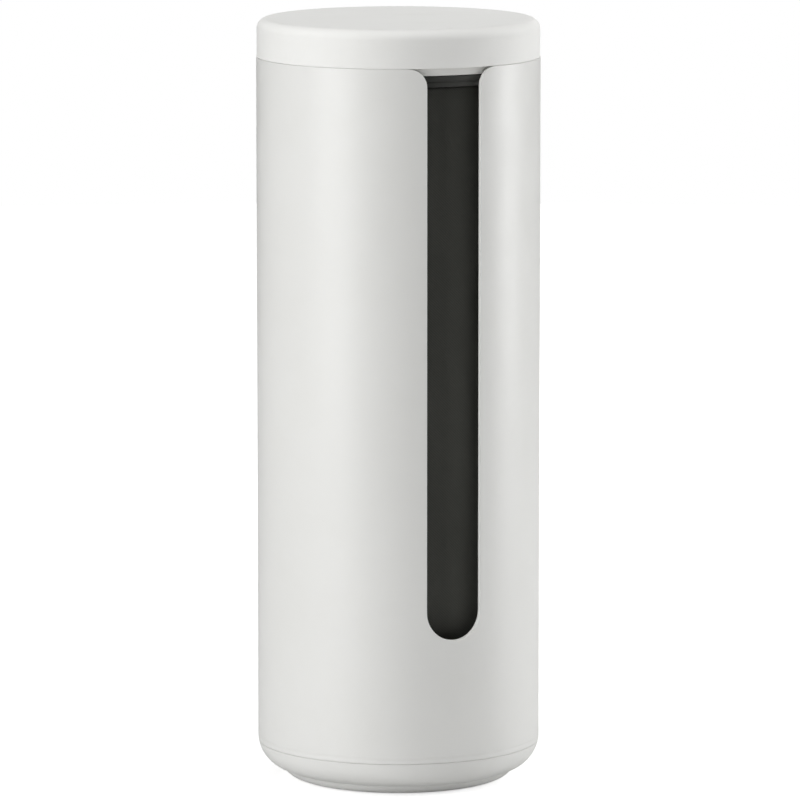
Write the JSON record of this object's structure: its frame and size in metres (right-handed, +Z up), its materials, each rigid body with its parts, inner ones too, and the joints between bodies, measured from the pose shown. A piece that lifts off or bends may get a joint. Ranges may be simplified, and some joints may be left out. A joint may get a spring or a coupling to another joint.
{
  "type": "fire blanket in a canister",
  "caption": "Free-standing round canister with a plug lid and a front finger slot, holding a rolled fire blanket with pull tabs.",
  "frame": {"origin": "centre of the underside, on the plane the canister stands on", "axes": "+Z up along the canister's axis; the finger slot faces -Y; +X is to the right seen from the slot side"},
  "size_m": [0.125, 0.125, 0.338],
  "materials": {
    "shell": "satin off-white",
    "plug": "fine moulded matte",
    "seal": "matte silicone",
    "grip_pad": "matte, fine texture",
    "felt": "pressed felt",
    "cloth": "coated glass cloth, twill",
    "webbing": "woven webbing"
  },
  "bodies": {
    "canister": {"body_tube": "shell", "base_cup": "shell", "foot_ring": "shell", "anti_slip_pad": "grip_pad", "floor_pad": "felt"},
    "blanket": {"blanket_roll": "cloth", "tab_anchor_left": "webbing", "tab_anchor_right": "webbing"},
    "tab_left": {"pull_tab_left": "webbing"},
    "tab_right": {"pull_tab_right": "webbing"},
    "lid": {"lid_cap": "shell", "lid_plug": "plug", "lid_seal": "seal"}
  },
  "joints": [
    {"name": "blanket_lift", "type": "slide", "parent": "canister", "child": "blanket", "axis": [0, 0, 1], "range_m": [0, 0.32]},
    {"name": "lid_lift", "type": "slide", "parent": "blanket", "child": "lid", "axis": [0, 0, 1], "range_m": [0, 0.12]},
    {"name": "tab_left_fold", "type": "hinge", "parent": "blanket", "child": "tab_left", "pos_m": [-0.046, 0, 0.3129], "axis": [0, -1, 0], "range_deg": [0, 80]},
    {"name": "tab_right_fold", "type": "hinge", "parent": "blanket", "child": "tab_right", "pos_m": [0.046, 0, 0.3129], "axis": [0, 1, 0], "range_deg": [0, 80]}
  ],
  "couplings": [
    {"joint": "tab_left_fold", "follows": "lid_lift", "rad_per_m": 11.6},
    {"joint": "tab_right_fold", "follows": "lid_lift", "rad_per_m": 11.6}
  ]
}
